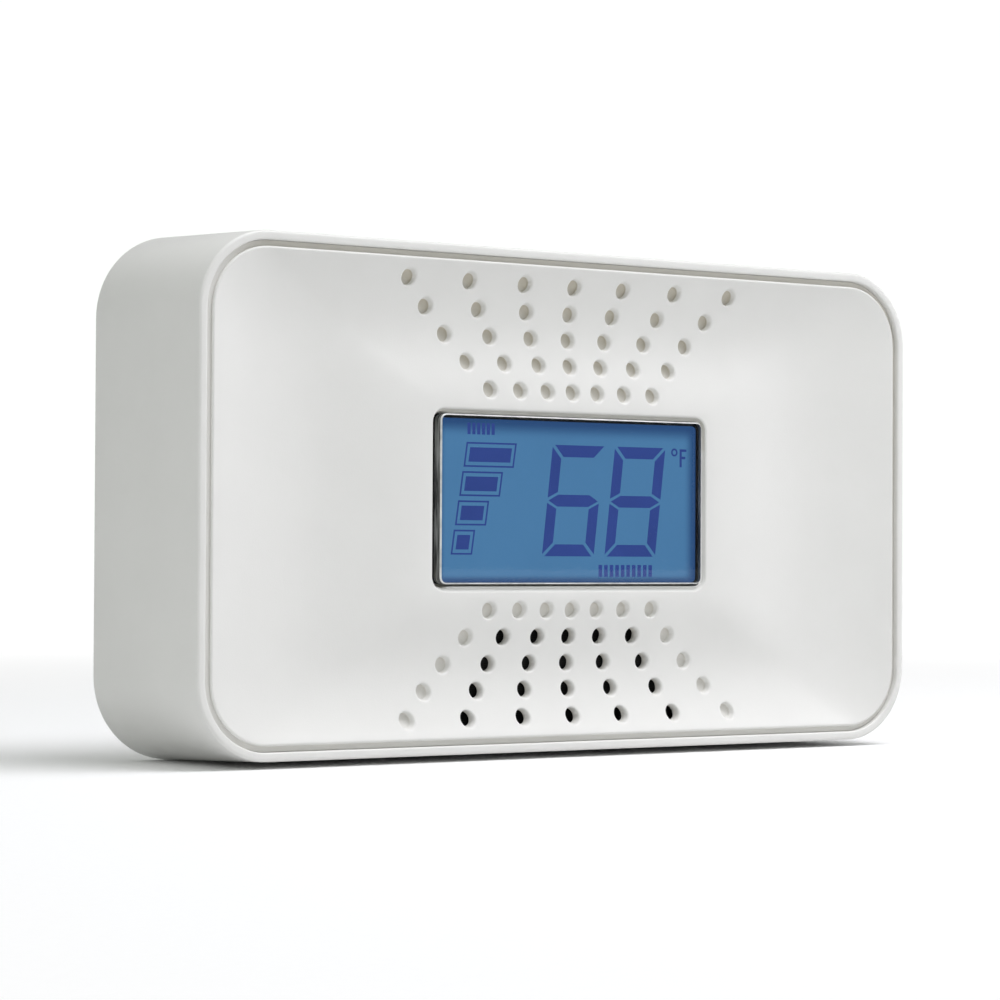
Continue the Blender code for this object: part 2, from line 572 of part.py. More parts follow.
make_housing(case_white)
make_front_cover(panel_white)
make_rear_cover(case_white)
make_display(clear_plastic, black_rubber, display_blue, light_guide, inner_white, led_body)
make_circuit_board(board_green)
make_horn(black_plastic, brass, screen_cloth)
make_sensor(steel_can, black_plastic)
make_battery(cell_wrap, inner_white, nickel)
make_board_parts(black_plastic, copper_wire, cell_wrap, led_body)
make_test_button(button_white, black_plastic, inner_white)
make_activation_slider(black_plastic, steel_can, inner_white)
make_screws(screw_steel)
box((-22, REAR_COVER_BACK + 0.1, -5), (22, REAR_COVER_BACK + 0.3, 21), "rating_label", label_film)
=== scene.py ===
"""The looks of a carbon monoxide alarm: fine shells, the lit display and every material.

Lengths are in millimetres in the functions and turned into metres by MM where a mesh is made. The
front of the case faces -Y. Heights are counted from the middle of the case's front outline.
"""

import math

import bmesh
import bpy
from mathutils import Matrix, Vector


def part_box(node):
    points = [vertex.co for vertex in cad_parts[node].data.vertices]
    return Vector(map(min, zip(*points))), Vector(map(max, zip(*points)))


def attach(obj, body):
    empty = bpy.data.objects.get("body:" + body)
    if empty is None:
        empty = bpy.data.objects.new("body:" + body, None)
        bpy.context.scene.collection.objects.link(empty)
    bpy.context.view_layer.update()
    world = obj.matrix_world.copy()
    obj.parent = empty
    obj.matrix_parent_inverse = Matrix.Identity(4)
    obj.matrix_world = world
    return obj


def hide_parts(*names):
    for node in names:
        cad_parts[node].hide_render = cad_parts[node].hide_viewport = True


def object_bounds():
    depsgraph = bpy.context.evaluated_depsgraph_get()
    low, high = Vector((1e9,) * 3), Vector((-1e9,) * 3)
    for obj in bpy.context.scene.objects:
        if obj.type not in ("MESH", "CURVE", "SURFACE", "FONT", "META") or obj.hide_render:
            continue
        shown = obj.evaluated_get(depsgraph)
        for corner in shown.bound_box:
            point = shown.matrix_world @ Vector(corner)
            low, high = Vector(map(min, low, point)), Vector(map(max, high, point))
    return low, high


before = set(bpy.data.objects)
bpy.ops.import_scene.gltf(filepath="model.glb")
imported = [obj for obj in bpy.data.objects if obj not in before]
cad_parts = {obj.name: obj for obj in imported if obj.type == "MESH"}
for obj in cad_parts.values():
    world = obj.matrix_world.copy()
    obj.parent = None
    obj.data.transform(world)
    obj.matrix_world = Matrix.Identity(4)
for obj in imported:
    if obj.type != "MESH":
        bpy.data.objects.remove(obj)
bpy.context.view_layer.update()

MM = 0.001
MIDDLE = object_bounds()[1].z / MM / 2
HOUSING_LOW, HOUSING_HIGH = (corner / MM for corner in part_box("housing"))
FRONT, BACK = HOUSING_LOW.y, HOUSING_HIGH.y
DRAFT = 1.0  # the sides lean out towards the back
HALF_WIDTH, HALF_HEIGHT = HOUSING_HIGH.x - DRAFT, MIDDLE - DRAFT
CORNER = 11.13
WALL = 2.0
RIM, GROOVE = 1.29, 0.95
PANEL_INSET = RIM + GROOVE - 0.1  # where the dished panel begins
GROOVE_DEPTH, GROOVE_LIFT = 0.9, 0.3  # the lift is for its left end

WINDOW_Z = -0.07
OPENING_X, OPENING_Z, OPENING_R = 24.8, 12.87, 2.0
SHELF, DISH, DISH_AT, DISH_POWER = 1.4, 2.95, 0.53, 1.75
HOLE_MOUTH, HOLE_RADIUS, HOLE_FILLET = 1.2, 1.03, 0.32  # a hole tapers from mouth to radius
BLIND_DEPTH, OPEN_DEPTH = 1.1, 1.4  # where the taper ends
HOLE_ROWS = (15.8, 19.65, 23.5, 27.3, 31.2)
HOLE_FAN, HOLE_FAN_GROWTH = 0.287, 0.0437

SEAT = FRONT + 3.95  # floor that the window's gasket lies on
LENS_X, LENS_Z, LENS_R, LENS_RISE = 23.85, 12.1, 1.0, 0.15
LENS_FRONT, LENS_BACK = FRONT + 1.25, FRONT + 2.95
DISPLAY_X, DISPLAY_Z = 0.2, -0.1  # middle of the display
LCD_X, LCD_Z, LCD_R, LCD_FRONT, LCD_BACK = 23.6, 11.7, 0.7, FRONT + 3.15, FRONT + 5.35
MARKS_X = -0.2  # shift of all marks on the display
BOARD_FRONT, BOARD_BACK = -4.0, -2.4
BUTTON_X, BUTTON_R, BUTTON_Y, BUTTON_TOP = 8.0, 3.0, -0.3, HALF_HEIGHT + 0.95
PLATE_FRONT, PLATE_BACK = BACK - 2.55, BACK - 0.55
COVER_SCREWS = [(x, z) for x in (-54.5, 54.5) for z in (-27.0, 27.0)]
BOARD_SCREWS = ((-45.0, 22.0), (-45.0, -22.0), (31.5, 22.0), (31.5, -22.0))
KEYHOLE_X, KEYHOLE_Z = 35.0, 14.0
SENSOR_X, SENSOR_Z = -30.0, -19.0
SLIDER_X, SLIDER_Z, SLIDER_TRAVEL = 24.0, -16.0, 3.0


# ================================================================ small helpers
def point(x, y, z):
    """A place in millimetres from the front's middle, as metres in the row's frame."""
    return Vector((x, y, z + MIDDLE)) * MM


def clamp(value, low=0.0, high=1.0):
    return min(max(value, low), high)


def link(obj):
    bpy.context.scene.collection.objects.link(obj)
    return obj


def object_from(name, mesh):
    """A loose object made from a bmesh, which is used up."""
    data = bpy.data.meshes.new(name)
    mesh.to_mesh(data)
    mesh.free()
    return link(bpy.data.objects.new(name, data))


def tool(name, mesh):
    """A solid for a boolean, or for a piece."""
    bmesh.ops.recalc_face_normals(mesh, faces=mesh.faces)
    return object_from(name, mesh)


def sharpen(obj, angle):
    """Ends smooth shading at edges of more than angle degrees."""
    obj.data.set_sharp_from_angle(angle=math.radians(angle))


def piece(name, mesh, material, body, node=None, sharp=35):
    """A bmesh as a piece, with its material, body, slot and the node it stands for."""
    obj = tool(name, mesh)
    obj.data.shade_smooth()
    sharpen(obj, sharp)
    obj.data.materials.append(material)
    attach(obj, body)
    if node:
        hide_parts(node)
    return obj


def rounded_rectangle(half_x, half_z, radius, steps=16, side_x=1, side_z=1):
    """Counter-clockwise from the right: corners of steps arcs, sides split into equal parts."""
    outline = []
    for corner, (sign_x, sign_z) in enumerate(((1, 1), (-1, 1), (-1, -1), (1, -1))):
        for step in range(steps + 1):
            angle = math.pi / 2 * (corner + step / steps)
            outline.append((sign_x * (half_x - radius) + radius * math.cos(angle),
                            sign_z * (half_z - radius) + radius * math.sin(angle)))
        x, z = outline[-1]
        if corner % 2:
            outline += [(x, z * (1 - 2 * i / side_z)) for i in range(1, side_z)]
        else:
            outline += [(x * (1 - 2 * i / side_x), z) for i in range(1, side_x)]
    return outline


def case_outline(inset, **steps):
    return rounded_rectangle(HALF_WIDTH - inset, HALF_HEIGHT - inset, CORNER - inset, **steps)


def inset_of(x, z):
    """How far a place lies inside the case's outline."""
    over = (abs(x) - HALF_WIDTH + CORNER, abs(z) - HALF_HEIGHT + CORNER)
    corner = math.hypot(max(over[0], 0), max(over[1], 0))
    return CORNER - corner - min(max(over), 0)


def mark_crevice_shade(obj, depth):
    """Stores for each corner point how much painted shade it gets in hollows: depth gives 0 to 1.
    """
    values = obj.data.attributes.new("crevice_shade", "FLOAT", "POINT").data
    for vertex, value in zip(obj.data.vertices, values):
        x, y, z = (vertex.co.x / MM, vertex.co.y / MM, vertex.co.z / MM - MIDDLE)
        value.value = clamp(depth(x, y, z))


def bridge(mesh, near, far):
    """A band of faces between two closed loops."""
    for i in range(len(near)):
        j = (i + 1) % len(near)
        mesh.faces.new((near[i], near[j], far[j], far[i]))


def loft(rings, closed=True):
    """Faces through rings of points in millimetres."""
    mesh = bmesh.new()
    loops = [[mesh.verts.new(point(*spot)) for spot in ring] for ring in rings]
    for near, far in zip(loops, loops[1:] + loops[:1] if closed else loops[1:]):
        bridge(mesh, near, far)
    return mesh


def capped(rings):
    """A closed solid through rings, with a flat face at each end."""
    mesh = loft(rings, closed=False)
    count = len(rings[0])
    mesh.verts.ensure_lookup_table()
    mesh.faces.new(list(mesh.verts)[:count])
    mesh.faces.new(list(mesh.verts)[-count:])
    return mesh


def arc(centre, radius, start, end, steps):
    """Points on an arc in a flat profile, angles in degrees."""
    points = []
    for i in range(steps + 1):
        angle = math.radians(start + (end - start) * i / steps)
        points.append((centre[0] + radius * math.cos(angle), centre[1] + radius * math.sin(angle)))
    return points


def circle(x, z, radius, count):
    """Places on a circle in X and Z."""
    angles = (2 * math.pi * i / count for i in range(count))
    return [(x + radius * math.cos(angle), z + radius * math.sin(angle)) for angle in angles]


def boolean(target, cutter, operation="DIFFERENCE"):
    """Cut or join now, and remove the tool."""
    modifier = target.modifiers.new("cut", "BOOLEAN")
    modifier.operation = operation
    modifier.solver = "EXACT"
    modifier.object = cutter
    depsgraph = bpy.context.evaluated_depsgraph_get()
    mesh = bpy.data.meshes.new_from_object(target.evaluated_get(depsgraph))
    target.modifiers.clear()
    old = target.data
    target.data = mesh
    bpy.data.meshes.remove(old)
    bpy.data.objects.remove(cutter, do_unlink=True)


# ================================================================ shader nodes
def feed(node, **inputs):
    """Fills a node's inputs, which are named with _ for a space."""
    for name, value in inputs.items():
        fill(node.inputs[name.replace("_", " ")], value)
    return node


def fill(socket, value):
    """Links an output to an input, or stores a number or a colour in it."""
    if isinstance(value, bpy.types.NodeSocket):
        socket.id_data.links.new(value, socket)
    else:
        socket.default_value = (*value, 1.0) if socket.type == "RGBA" else value


def add_node(tree, kind, settings=(), **inputs):
    """A new shader node; settings pairs a property's name with its value."""
    node = tree.nodes.new("ShaderNode" + kind)
    for name, value in settings:
        setattr(node, name, value)
    return feed(node, **inputs)


def own_place(tree):
    """The object's own coordinates."""
    return add_node(tree, "TexCoord").outputs["Object"]


def own_axes(tree):
    """The object's own coordinates in millimetres, split into axes."""
    grow = add_node(tree, "VectorMath", [("operation", "SCALE")], Scale=1 / MM)
    fill(grow.inputs[0], own_place(tree))
    return add_node(tree, "SeparateXYZ", Vector=grow.outputs["Vector"]).outputs


def calc(operation, *values):
    """One sum on the outputs of other nodes and on numbers."""
    tree = next(value.id_data for value in values if isinstance(value, bpy.types.NodeSocket))
    node = add_node(tree, "Math", [("operation", operation)])
    for socket, value in zip(node.inputs, values):
        fill(socket, value)
    return node.outputs["Value"]


def waves(value, rate):
    """Rounded ridges along one axis."""
    return calc("ABSOLUTE", calc("SINE", calc("MULTIPLY", value, rate)))


def noise(tree, scale, detail=2.0, stretch=(1, 1, 1)):
    """Noise in the object's own coordinates: scale is lumps per metre."""
    mapping = add_node(tree, "Mapping", Vector=own_place(tree), Scale=stretch)
    return add_node(tree, "TexNoise", Vector=mapping.outputs["Vector"], Scale=scale,
                    Detail=detail).outputs["Fac"]


def spread(value, low, high, start=0.3, end=0.7, curve="LINEAR"):
    """A value between start and end, stretched to run from low to high."""
    return add_node(value.id_data, "MapRange", [("interpolation_type", curve)], Value=value,
                    From_Min=start, From_Max=end, To_Min=low, To_Max=high).outputs["Result"]


def blend_colors(factor, first, second):
    """A colour between two, each a plain colour or the output of another node."""
    mix = add_node(factor.id_data, "Mix", [("data_type", "RGBA")], Factor=factor)
    fill(mix.inputs[6], first)
    fill(mix.inputs[7], second)
    return mix.outputs[2]


def bump(height, distance):
    """The surface's direction, for a height of 1 that is this many metres."""
    return add_node(height.id_data, "Bump", Height=height, Distance=distance,
                    Strength=1.0).outputs["Normal"]


def paint_crevice_shade(surface, crevice_shade):
    """Paints shade into the hollows that were marked: the darker, warmer colour that light bouncing
    about there has.
    """
    if crevice_shade is None:
        return surface
    stored = add_node(surface.id_data, "Attribute", [("attribute_name", "crevice_shade")])
    return blend_colors(stored.outputs["Fac"], surface, crevice_shade)


def shades(color, *factors):
    """The same colour at several brightnesses."""
    return [tuple(min(c * factor, 1) for c in color) for factor in factors]


# ================================================================ materials
def shader_material(name, color, roughness, metallic=0.0, **inputs):
    """A Principled material, its tree and its shader."""
    material = bpy.data.materials.new(name)
    material.use_nodes = True
    tree = material.node_tree
    shader = tree.nodes["Principled BSDF"]
    feed(shader, Base_Color=color, Roughness=roughness, Metallic=metallic, **inputs)
    return material, tree, shader


def moulded_plastic(name, color, roughness, grain=0.000012, mottle=0.012, crevice_shade=None):
    """Injection-moulded plastic: faint clouding, uneven gloss, a fine spark-eroded grain, and
    painted shade in hollows where a shade colour is given.
    """
    material, tree, shader = shader_material(name, color, roughness)
    clouds, gloss, pits = noise(tree, 90, 3), noise(tree, 700, 4), noise(tree, 5200, 2)
    cloudy = blend_colors(spread(clouds, 0, 1), *shades(color, 1 - mottle, 1 + mottle))
    feed(shader, Base_Color=paint_crevice_shade(cloudy, crevice_shade), Normal=bump(pits, grain),
         Roughness=spread(gloss, roughness - 0.05, roughness + 0.05))
    return material


def metal(name, color, roughness, stretch=(1, 1, 1), scale=2500, crevice_shade=None):
    """Metal with drawn or brushed streaks along the axes that stretch makes shortest, and painted
    shade in hollows where a shade colour is given.
    """
    material, tree, shader = shader_material(name, color, roughness, metallic=1.0)
    streaks = noise(tree, scale, 4, stretch)
    surface = blend_colors(spread(streaks, 0, 1), *shades(color, 0.82, 1))
    feed(shader, Base_Color=paint_crevice_shade(surface, crevice_shade),
         Roughness=spread(streaks, roughness - 0.08, roughness + 0.1),
         Normal=bump(streaks, 0.000004))
    return material


def clear_plastic(name):
    """The display window: clear, hard-coated, with the faintest unevenness."""
    material, tree, shader = shader_material(name, (0.985, 0.99, 0.985), 0.02,
                                             IOR=1.49, Transmission_Weight=1.0)
    feed(shader, Normal=bump(noise(tree, 260, 1), 0.0000012),
         Roughness=spread(noise(tree, 400, 3), 0.0, 0.03))
    return material


def painted_edge(name):
    """Black paint on the window's cut sides, with paler streaks painted in as reflections in the
    glass.
    """
    material, tree, shader = shader_material(name, (0.01, 0.01, 0.01), 0.22)
    streaks = noise(tree, 420, 4, (1, 6, 0.35))
    # the paler streaks are painted reflections
    thin = spread(streaks, 0, 1, 0.38, 0.62)
    feed(shader, Base_Color=blend_colors(thin, (0.015, 0.015, 0.015), (0.40, 0.41, 0.40)),
         Roughness=spread(streaks, 0.3, 0.12))
    return material


def pale_bevel_highlight(name):
    """The window's front bevel, painted pale with streaks as a painted highlight where its edge
    catches light.
    """
    material, tree, shader = shader_material(name, (0.82, 0.83, 0.83), 0.3)
    streaks = noise(tree, 500, 3)
    feed(shader, Base_Color=blend_colors(spread(streaks, 0, 1), (0.62, 0.63, 0.63),
                                         (0.93, 0.94, 0.93)),
         Roughness=spread(streaks, 0.2, 0.4))
    return material


def frame_shadow(tree, left, right, bottom, top):
    """1 in the middle of the display, falling to 0 at its sides over these four widths."""
    axes = own_axes(tree)
    middle_z = MIDDLE + DISPLAY_Z
    result = 1.0
    for axis, edge, width in (("X", DISPLAY_X - LCD_X, left), ("X", DISPLAY_X + LCD_X, -right),
                              ("Z", middle_z - LCD_Z, bottom), ("Z", middle_z + LCD_Z, -top)):
        result = calc("MULTIPLY", result,
                      spread(axes[axis], 0, 1, edge, edge + width, "SMOOTHERSTEP"))
    return result


def lit_display(name, glow, dim):
    """Back-lit blue: brightest in the middle, dimmer at the frame, uneven like a light guide."""
    material, tree, shader = shader_material(name, (0.006, 0.012, 0.03), 0.18,
                                             Specular_IOR_Level=0.0, Emission_Strength=1.0)
    level = calc("MULTIPLY", frame_shadow(tree, 1.6, 2.6, 1.3, 3.0),
                 spread(noise(tree, 55, 2), 0.93, 1.06))
    feed(shader, Emission_Color=blend_colors(level, dim, glow),
         Roughness=spread(noise(tree, 1500, 2), 0.14, 0.22))
    return material


def mark_ink(name, color):
    """The dark state of the display, a little uneven where the light guide is."""
    material, tree, shader = shader_material(name, (0.006, 0.008, 0.03), 0.3,
                                             Specular_IOR_Level=0.0, Emission_Strength=1.0)
    cloud = spread(noise(tree, 120, 2), 0, 1)
    feed(shader, Emission_Color=blend_colors(cloud, *shades(color, 0.93, 1.05)))
    return material


def board_laminate(name):
    """Green solder mask over glass weave, with raised copper tracks and tinned pads."""
    material, tree, shader = shader_material(name, (0.02, 0.16, 0.07), 0.32)
    axes = own_axes(tree)

    def tracks(axis, pitch, other, wander):
        """Lines across one axis that jump sideways each time the other has gone on by wander."""
        jump = calc("MULTIPLY", calc("ROUND", calc("DIVIDE", axes[other], wander)), pitch * 0.37)
        phase = calc("PINGPONG", calc("ADD", axes[axis], jump), pitch / 2)
        return calc("LESS_THAN", phase, pitch * 0.13)

    patch = spread(noise(tree, 95, 1), 0, 1, 0.48, 0.52)
    copper = calc("ADD", calc("MULTIPLY", tracks("X", 1.7, "Z", 6.5), patch),
                  calc("MULTIPLY", tracks("Z", 2.1, "X", 8.5), calc("SUBTRACT", 1.0, patch)))
    dots = add_node(tree, "TexVoronoi", Vector=own_place(tree), Scale=210)
    pads = calc("LESS_THAN", dots.outputs["Distance"], 0.13)
    mask = blend_colors(copper, (0.012, 0.12, 0.05), (0.03, 0.24, 0.09))
    feed(shader, Base_Color=blend_colors(pads, mask, (0.62, 0.63, 0.60)), Metallic=pads,
         Normal=bump(calc("ADD", copper, pads), 0.00004))
    return material


def woven_screen(name):
    """Fine black mesh cloth."""
    material, tree, shader = shader_material(name, (0.02, 0.02, 0.02), 0.85)
    axes = own_axes(tree)
    threads = calc("MAXIMUM", waves(axes["X"], 12.0), waves(axes["Z"], 12.0))
    feed(shader, Base_Color=blend_colors(spread(threads, 0, 1, 0.4, 1.0), (0.004, 0.004, 0.004),
                                         (0.035, 0.034, 0.032)),
         Normal=bump(threads, 0.00003))
    return material


def wound_wire(name):
    """Enamelled wire, one turn above the other along Y, with painted shade in the gaps between
    turns.
    """
    material, tree, shader = shader_material(name, (0.60, 0.28, 0.12), 0.28, metallic=1.0)
    turns = waves(own_axes(tree)["Y"], 9.5)
    feed(shader, Base_Color=blend_colors(spread(turns, 0, 1, 0.05, 0.6), (0.12, 0.04, 0.02),
                                         (0.66, 0.30, 0.12)),
         Normal=bump(turns, 0.00008))
    return material


def shrink_sleeve(name):
    """Glossy shrink sleeve with a paler band and faint shrink ripples."""
    material, tree, shader = shader_material(name, (0.16, 0.17, 0.19), 0.28)
    from_band = calc("ABSOLUTE", calc("SUBTRACT", own_axes(tree)["Z"], MIDDLE + 9))
    ripple = noise(tree, 420, 3, (1, 1, 3))
    sleeve = blend_colors(spread(ripple, 0, 1), (0.13, 0.14, 0.16), (0.18, 0.19, 0.21))
    feed(shader, Base_Color=blend_colors(calc("LESS_THAN", from_band, 2.0), sleeve,
                                         (0.55, 0.56, 0.57)),
         Roughness=spread(ripple, 0.22, 0.36), Normal=bump(ripple, 0.00003))
    return material


def printed_label(name):
    """White film with a printed border and plain ruled blocks, and no words."""
    material, tree, shader = shader_material(name, (0.78, 0.78, 0.76), 0.42)
    half_x, half_z, border_at, rule_pitch = 22.0, 13.0, 1.2, 2.2
    axes = own_axes(tree)
    x, z = axes["X"], calc("SUBTRACT", axes["Z"], MIDDLE + 8)
    from_side = calc("MINIMUM", calc("SUBTRACT", half_x, calc("ABSOLUTE", x)),
                     calc("SUBTRACT", half_z, calc("ABSOLUTE", z)))
    border = calc("LESS_THAN", calc("ABSOLUTE", calc("SUBTRACT", from_side, border_at)), 0.12)
    inside = calc("GREATER_THAN", from_side, 3.0)
    rules = calc("LESS_THAN", calc("PINGPONG", z, rule_pitch / 2), 0.16)
    row = calc("ROUND", calc("DIVIDE", z, rule_pitch))
    length = calc("MULTIPLY", calc("FRACT", calc("MULTIPLY", row, 0.618)), 17)
    ragged = calc("GREATER_THAN", calc("ADD", x, 17.5), length)
    ink = calc("MAXIMUM", border, calc("MULTIPLY", calc("MULTIPLY", rules, inside), ragged))
    paper = blend_colors(spread(noise(tree, 900, 3), 0, 1), (0.74, 0.74, 0.72),
                         (0.80, 0.80, 0.78))
    feed(shader, Base_Color=blend_colors(ink, paper, (0.11, 0.11, 0.12)),
         Normal=bump(noise(tree, 2600, 2), 0.000006))
    return material


# ================================================================ case shells
def pill(half_x, half_y, z, radius=None, side_x=1):
    """A round-ended outline in X and Y at height z, round the button's place."""
    outline = rounded_rectangle(half_x, half_y, radius or half_y - 0.001, 12, side_x)
    return [(x, BUTTON_Y + y, z) for x, y in outline]


def make_housing(material):
    """The sleeve: a soft front edge, the rim, a ledge for each cover and the button's slot."""
    lean = DRAFT / (BACK - FRONT)
    edge, lip, back_edge, inner_edge = 0.45, 0.25, 0.35, 0.2
    ledge, ledge_back, ledge_inset = FRONT + 2.5, FRONT + 3.9, 3.6
    rear_ledge, rear_inset = BACK - 2.85, 3.2
    rear_front = rear_ledge - 1.5
    profile = arc((edge, FRONT + edge), edge, 270, 180, 6)
    profile += arc((back_edge - DRAFT, BACK - back_edge), back_edge, 180, 90, 4)
    profile += arc((WALL - DRAFT - inner_edge, BACK - inner_edge), inner_edge, 90, 0, 3)
    profile += [
        (WALL - DRAFT, rear_ledge), (rear_inset, rear_ledge), (rear_inset, rear_front),
        (WALL - lean * (rear_front - FRONT), rear_front),
        (WALL - lean * (ledge_back - FRONT), ledge_back), (ledge_inset, ledge_back),
        (ledge_inset, ledge), (RIM + 0.03, ledge),
    ]
    profile += arc((RIM - lip, FRONT + lip), lip, 0, -90, 4)
    rings = [[(x, y, z) for x, z in case_outline(inset, steps=24, side_x=24, side_z=10)]
             for inset, y in profile]
    housing = piece("housing_shell", loft(rings), material, "case", "housing")
    wall_top = HALF_HEIGHT + lean * (BUTTON_Y - FRONT)
    gap, flare = 0.3, 0.35
    slot_rings = [pill(BUTTON_X + wider, BUTTON_R + wider, z) for wider, z in (
        (gap, HALF_HEIGHT - 4), (gap, wall_top - 0.35), (gap + 0.1, wall_top - 0.15),
        (gap + flare, wall_top + 0.1), (gap + flare, HALF_HEIGHT + 3))]
    boolean(housing, tool("button_slot", capped(slot_rings)))
    sharpen(housing, 30)

    def depth(x, y, z):
        """Painted shade: only the inner side of the rim is tinted darker, and only a little."""
        return min((y - FRONT - 0.35) / 0.8, 0.25) if inset_of(x, z) > RIM - 0.1 else 0

    mark_crevice_shade(housing, depth)


def panel_recess(s):
    """How far the panel lies behind the rim: s is 0 at the display opening and 1 at the edge."""
    if s < DISH_AT:
        return SHELF + (DISH - SHELF) * (0.5 - 0.5 * math.cos(math.pi * s / DISH_AT))
    return DISH * (1 - ((s - DISH_AT) / (1 - DISH_AT)) ** DISH_POWER)


def panel_position(x, z):
    """The s of a place on the panel, found by halving."""
    low, high = 0.0, 1.0
    for _ in range(26):
        s = (low + high) / 2
        half_x = OPENING_X + (HALF_WIDTH - PANEL_INSET - OPENING_X) * s
        half_z = OPENING_Z + (HALF_HEIGHT - PANEL_INSET - OPENING_Z) * s
        radius = OPENING_R + (CORNER - PANEL_INSET - OPENING_R) * s
        over_x = abs(x) - half_x + radius
        over_z = abs(z - WINDOW_Z * (1 - s)) - half_z + radius
        reach = math.hypot(max(over_x, 0), max(over_z, 0)) + min(max(over_x, over_z), 0)
        if reach > radius:
            low = s
        else:
            high = s
    return high


def panel_y(x, z):
    return FRONT + panel_recess(panel_position(x, z))


def hole_places():
    """Every hole of the panel: x, z and whether it goes right through."""
    places = []
    for side in (1, -1):
        for row, distance in enumerate(HOLE_ROWS):
            for column in range(-3, 4):
                k = abs(column)
                across = distance * HOLE_FAN * (k + HOLE_FAN_GROWTH * k * (k - 1))
                through = side < 0 and row > 0 and k < 3
                places.append((math.copysign(across, column), side * distance, through))
    return places


def hole_cutters():
    """One tool for all holes: a bore with a rounded mouth that follows the panel's slope."""
    mesh = bmesh.new()
    sides, foot = 28, 0.12
    behind = WALL + 1.4  # past the panel's back
    for x, z, through in hole_places():
        profile = [(HOLE_MOUTH + HOLE_FILLET + 0.35, -0.4)]
        profile += arc((HOLE_MOUTH + HOLE_FILLET, HOLE_FILLET), HOLE_FILLET, -78, -180, 5)
        end = OPEN_DEPTH if through else BLIND_DEPTH
        profile.append((HOLE_RADIUS + 0.04, end - 0.3))
        if through:
            relief = HOLE_RADIUS + 0.42
            profile += [(HOLE_RADIUS, end), (relief, end + 0.3), (relief, behind)]
        else:
            profile += arc((HOLE_RADIUS - foot, end - foot), foot, 0, 90, 3)
        loops = [[mesh.verts.new(point(a, panel_y(a, b) + depth, b))
                  for a, b in circle(x, z, radius, sides)] for radius, depth in profile]
        for near, far in zip(loops, loops[1:]):
            bridge(mesh, near, far)
        for loop in (loops[0], loops[-1]):
            hub = mesh.verts.new(sum((v.co for v in loop), Vector()) / sides)
            for i in range(sides):
                mesh.faces.new((loop[i], loop[(i + 1) % sides], hub))
    return tool("holes", mesh)


